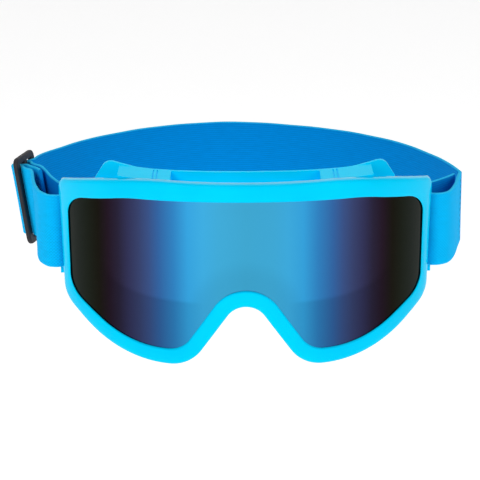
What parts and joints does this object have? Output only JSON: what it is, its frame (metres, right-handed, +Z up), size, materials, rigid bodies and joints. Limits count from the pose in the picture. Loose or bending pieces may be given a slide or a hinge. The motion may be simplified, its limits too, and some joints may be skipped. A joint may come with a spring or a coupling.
{
  "type": "ski goggles",
  "caption": "Ski goggles with a curved mirrored lens in a glossy rim, a foam-backed vented frame and an elastic head strap with a sliding adjuster.",
  "frame": {"origin": "middle of the face seat: on the centre plane, level with mid-height of the face opening, in the plane where the fleece meets the temples", "axes": "+Y back towards the wearer's head, +X to the wearer's left, +Z up; the lens faces -Y"},
  "size_m": [0.2303, 0.2323, 0.0878],
  "materials": {
    "rim": "high-gloss moulded cyan",
    "lens": "mirror coated, blue at the middle through violet to near black at the sides",
    "frame": "satin cyan",
    "foam": "open-cell foam, charcoal",
    "fleece": "brushed fleece, black",
    "webbing": "woven elastic with fine lengthwise ribs",
    "thread": "sewing thread",
    "adjuster": "moulded black-brown"
  },
  "bodies": {
    "goggles": {"front_frame": "rim", "lens": "lens", "face_frame": "frame", "left_lug": "frame", "right_lug": "frame", "top_vent_foam": "foam", "lower_vent_foam_left": "foam", "lower_vent_foam_right": "foam", "face_foam": "foam", "face_fleece": "fleece"},
    "strap": {"strap_band": "webbing", "left_loop": "webbing", "left_loop_stitching": "thread", "adjusting_span": "webbing", "right_front_layer": "webbing", "right_lug_turn": "webbing", "right_back_layer": "webbing"},
    "slider": {"slider": "adjuster", "strap_over_bar": "webbing", "sewn_end": "webbing", "sewn_end_stitching": "thread"}
  },
  "joints": [
    {"name": "strap_tilt", "type": "hinge", "parent": "goggles", "child": "strap", "pos_m": [0, -0.01826, 0.00545], "axis": [1, 0, 0], "range_deg": [-6, 6]},
    {"name": "slider_slide", "type": "slide", "parent": "strap", "child": "slider", "axis": [0, -1, 0], "range_m": [-0.01, 0.018], "deforming": ["adjusting_span", "right_front_layer", "right_back_layer"]}
  ]
}
